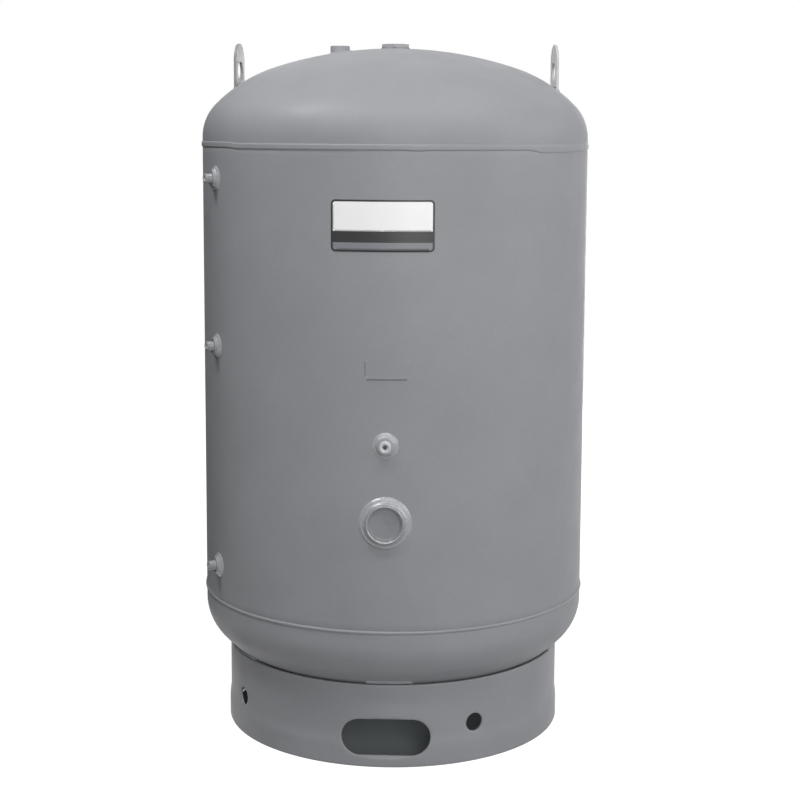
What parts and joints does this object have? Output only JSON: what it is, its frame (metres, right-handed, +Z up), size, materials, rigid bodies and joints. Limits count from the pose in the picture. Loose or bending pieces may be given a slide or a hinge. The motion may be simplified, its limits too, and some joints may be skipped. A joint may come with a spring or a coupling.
{
  "type": "hot water storage tank",
  "caption": "Upright round steel hot-water storage tank with dished heads, a ring base, welded pipe connections, lifting lugs and a removable anode.",
  "frame": {"origin": "on the floor, under the tank's vertical axis", "axes": "+Z up along the tank's axis; -Y is the front, where the label and the two front connections are; the side connections are on the left half, towards -X"},
  "size_m": [0.9196, 0.94, 1.6292],
  "materials": {
    "grey_paint": "semi-gloss",
    "plated_steel": "satin",
    "magnesium": "matte",
    "label_film": "satin",
    "plate_metal": "satin"
  },
  "bodies": {
    "tank": {"shell": "grey_paint", "top_head": "grey_paint", "bottom_head": "grey_paint", "top_girth_weld": "grey_paint", "bottom_girth_weld": "grey_paint", "shell_seam_weld": "grey_paint", "base_ring": "grey_paint", "base_ring_seam_weld": "grey_paint", "base_ring_welds": "grey_paint", "small_couplings": "grey_paint", "port_nipples": "grey_paint", "front_large_coupling": "grey_paint", "front_large_plug": "grey_paint", "outlet_coupling": "grey_paint", "drain_coupling": "grey_paint", "drain_plug": "plated_steel", "fitting_welds": "grey_paint", "lifting_lug_left": "grey_paint", "lifting_lug_right": "grey_paint", "lug_welds": "grey_paint", "anode_spud": "grey_paint", "name_label": "label_film", "data_plate": "plate_metal", "data_plate_pins": "plate_metal"},
    "anode": {"anode_plug": "grey_paint", "anode_core_wire": "plated_steel", "anode_rod": "magnesium"}
  },
  "joints": [
    {"name": "anode_lift", "type": "slide", "parent": "tank", "child": "anode", "axis": [0, 0, 1], "range_m": [0, 1.1]}
  ]
}
